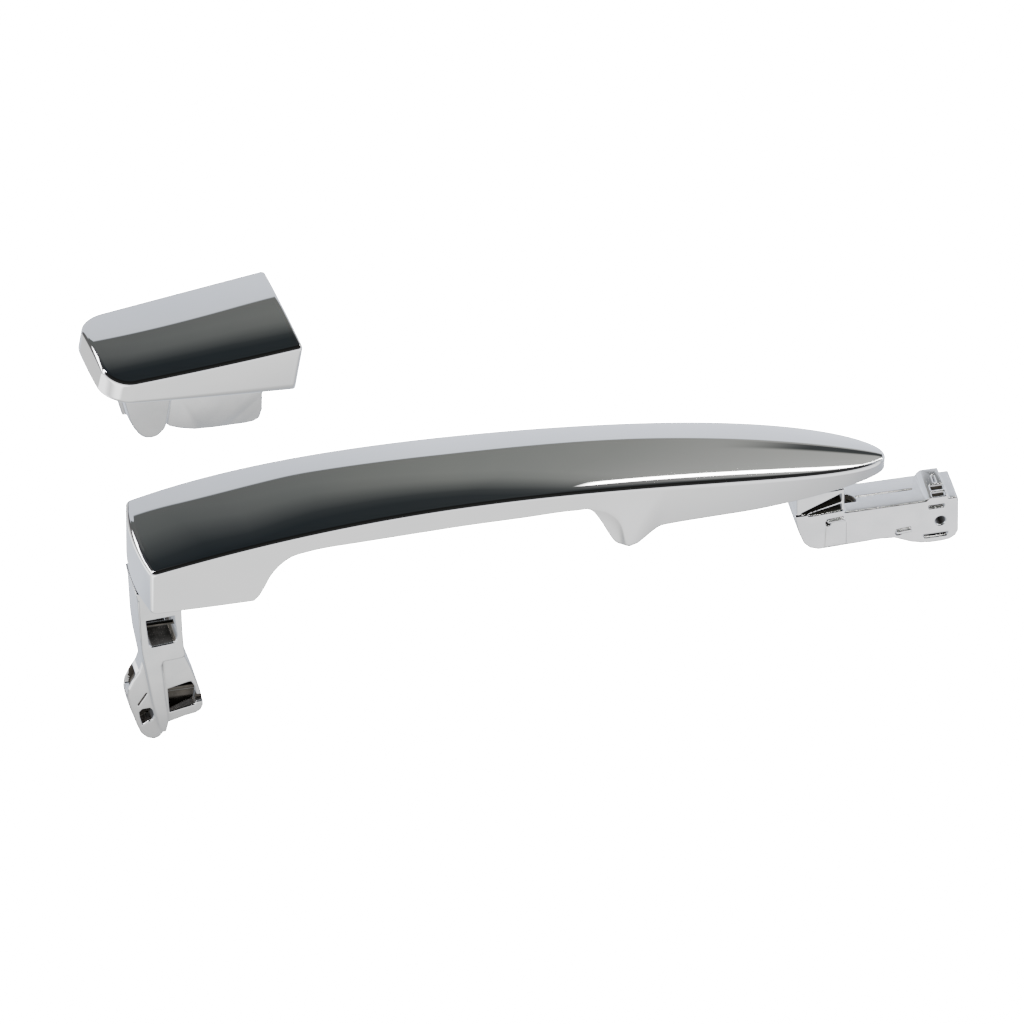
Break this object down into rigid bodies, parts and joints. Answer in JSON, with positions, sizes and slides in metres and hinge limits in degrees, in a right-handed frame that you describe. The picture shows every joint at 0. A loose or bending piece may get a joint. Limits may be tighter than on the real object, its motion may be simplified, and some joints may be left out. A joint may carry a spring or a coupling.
{
  "type": "car door handle",
  "caption": "Chromed car door pull handle with a tapering bowed grip, rear pull arm, front pivot arm and a separate rear end cap.",
  "frame": {"origin": "centre of the front pivot bore, midway along it", "axes": "+X along the grip from its rear end towards the pivot, +Y along the pivot bore, +Z outward from the door skin"},
  "size_m": [0.2471, 0.1003, 0.1],
  "materials": {
    "chrome_plated": "mirror polished plating",
    "chrome_plated_moulding": "plated moulding",
    "core_plastic": "glass filled, matt",
    "screw_steel": "zinc plated",
    "insert_brass": "turned"
  },
  "bodies": {
    "cap": {"cap_shell": "chrome_plated", "cap_base": "chrome_plated_moulding", "cap_cylinder_blank": "chrome_plated_moulding", "cap_thread_insert": "insert_brass", "cap_base_screws": "screw_steel"},
    "handle": {"grip_outer_shell": "chrome_plated", "grip_inner_shell": "chrome_plated", "grip_core_beam": "core_plastic", "rear_pull_arm": "chrome_plated_moulding", "front_pivot_arm": "chrome_plated_moulding", "rear_arm_screws": "screw_steel", "front_arm_screws": "screw_steel", "shell_screws": "screw_steel"}
  },
  "joints": [
    {"name": "handle_swing", "type": "hinge", "parent": "cap", "child": "handle", "pos_m": [0, 0, 0], "axis": [0, 1, 0], "range_deg": [0, 9], "stiffness_Nm_per_rad": 6, "springref_deg": -5.73}
  ]
}
